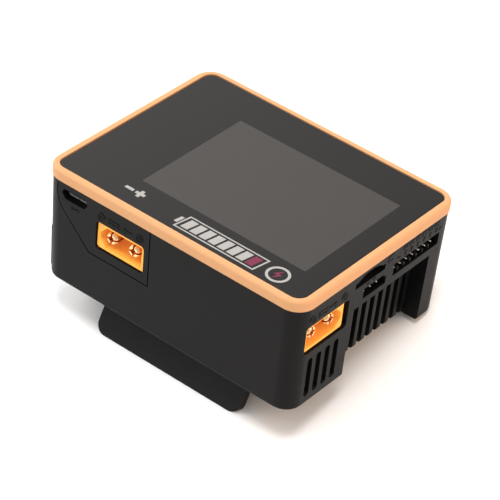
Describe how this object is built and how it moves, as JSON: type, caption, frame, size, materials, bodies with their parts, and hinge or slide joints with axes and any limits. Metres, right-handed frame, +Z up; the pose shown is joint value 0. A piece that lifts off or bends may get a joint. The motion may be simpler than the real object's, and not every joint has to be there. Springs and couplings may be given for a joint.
{
  "type": "balance battery charger",
  "caption": "Compact box-shaped battery charger with a display window in a raised frame, side and rear sockets, finned vent bay and fold-out stand.",
  "frame": {"origin": "centre of the bounding box at the height of the table the charger stands on", "axes": "+X along the long side, to the user's right; +Y to the rear, where the power inlet is; +Z up. The case itself leans forward by 10.6 degrees about X, on its open stand."},
  "size_m": [0.078, 0.0652, 0.0434],
  "materials": {
    "case_plastic": "fine matte moulded texture",
    "frame_plastic": "satin peach",
    "window": "smooth dark window",
    "socket_plastic": "semi-gloss amber",
    "gold_plate": "gold plated, bright",
    "port_plastic": "semi-gloss black",
    "heatsink_black": "black anodised",
    "steel": "dark zinc",
    "can_metal": "satin",
    "rubber": "matte",
    "board": "solder mask",
    "flex_film": "film",
    "dark_part": "matte"
  },
  "bodies": {
    "chassis": {"top_bezel": "frame_plastic", "display_glass": "window", "lcd_module": "dark_part", "main_housing": "case_plastic", "rear_socket_panel": "case_plastic", "bottom_cover": "case_plastic", "kickstand_pin_left": "steel", "kickstand_pin_right": "steel", "input_socket_shell": "socket_plastic", "input_pin_negative": "gold_plate", "input_pin_positive": "gold_plate", "output_socket_shell": "socket_plastic", "output_pin_negative": "gold_plate", "output_pin_positive": "gold_plate", "balance_header": "port_plastic", "signal_header": "port_plastic", "usb_shell": "can_metal", "usb_tongue": "port_plastic", "card_socket": "can_metal", "heatsink": "heatsink_black", "fan_frame": "case_plastic", "main_board": "board", "display_board": "board", "display_flex": "flex_film", "control_chip": "dark_part", "buzzer": "dark_part", "wheel_switch": "dark_part", "back_switch": "dark_part", "rubber_foot_left": "rubber", "rubber_foot_right": "rubber", "rubber_foot_rear": "rubber", "case_screw_1": "steel", "power_transistor_1": "dark_part", "case_screw_2": "steel", "power_transistor_2": "dark_part", "case_screw_3": "steel", "power_transistor_3": "dark_part", "case_screw_4": "steel", "power_transistor_4": "dark_part", "balance_pin_1": "gold_plate", "balance_pin_2": "gold_plate", "balance_pin_3": "gold_plate", "balance_pin_4": "gold_plate", "balance_pin_5": "gold_plate", "balance_pin_6": "gold_plate", "balance_pin_7": "gold_plate", "signal_pin_1": "gold_plate", "capacitor_1": "can_metal", "signal_pin_2": "gold_plate", "capacitor_2": "can_metal", "signal_pin_3": "gold_plate", "capacitor_3": "can_metal", "inductor_1": "dark_part", "inductor_2": "dark_part"},
    "stand": {"kickstand": "case_plastic"},
    "rotor": {"fan_rotor": "dark_part"},
    "wheel_slide": {"wheel_carrier": "dark_part"},
    "wheel": {"scroll_wheel": "rubber"},
    "button": {"back_button": "case_plastic"}
  },
  "joints": [
    {"name": "stand_hinge", "type": "hinge", "parent": "chassis", "child": "stand", "pos_m": [0, 0.02222, 0.0111], "axis": [-1, 0, 0], "range_deg": [0, 116]},
    {"name": "fan_spin", "type": "hinge", "parent": "chassis", "child": "rotor", "pos_m": [0.01389, -0.00999, 0.0091], "axis": [0, -0.1842, 0.9829], "continuous": true},
    {"name": "wheel_press", "type": "slide", "parent": "chassis", "child": "wheel_slide", "axis": [0, 0.9829, 0.1842], "range_m": [0, 0.0005], "stiffness_N_per_m": 1200, "springref_m": -0.0004},
    {"name": "wheel_turn", "type": "hinge", "parent": "wheel_slide", "child": "wheel", "pos_m": [0.02396, -0.02694, 0.02484], "axis": [0, -0.1842, 0.9829], "continuous": true},
    {"name": "back_press", "type": "slide", "parent": "chassis", "child": "button", "axis": [0, 0.9829, 0.1842], "range_m": [0, 0.0006], "stiffness_N_per_m": 800, "springref_m": -0.0004}
  ]
}
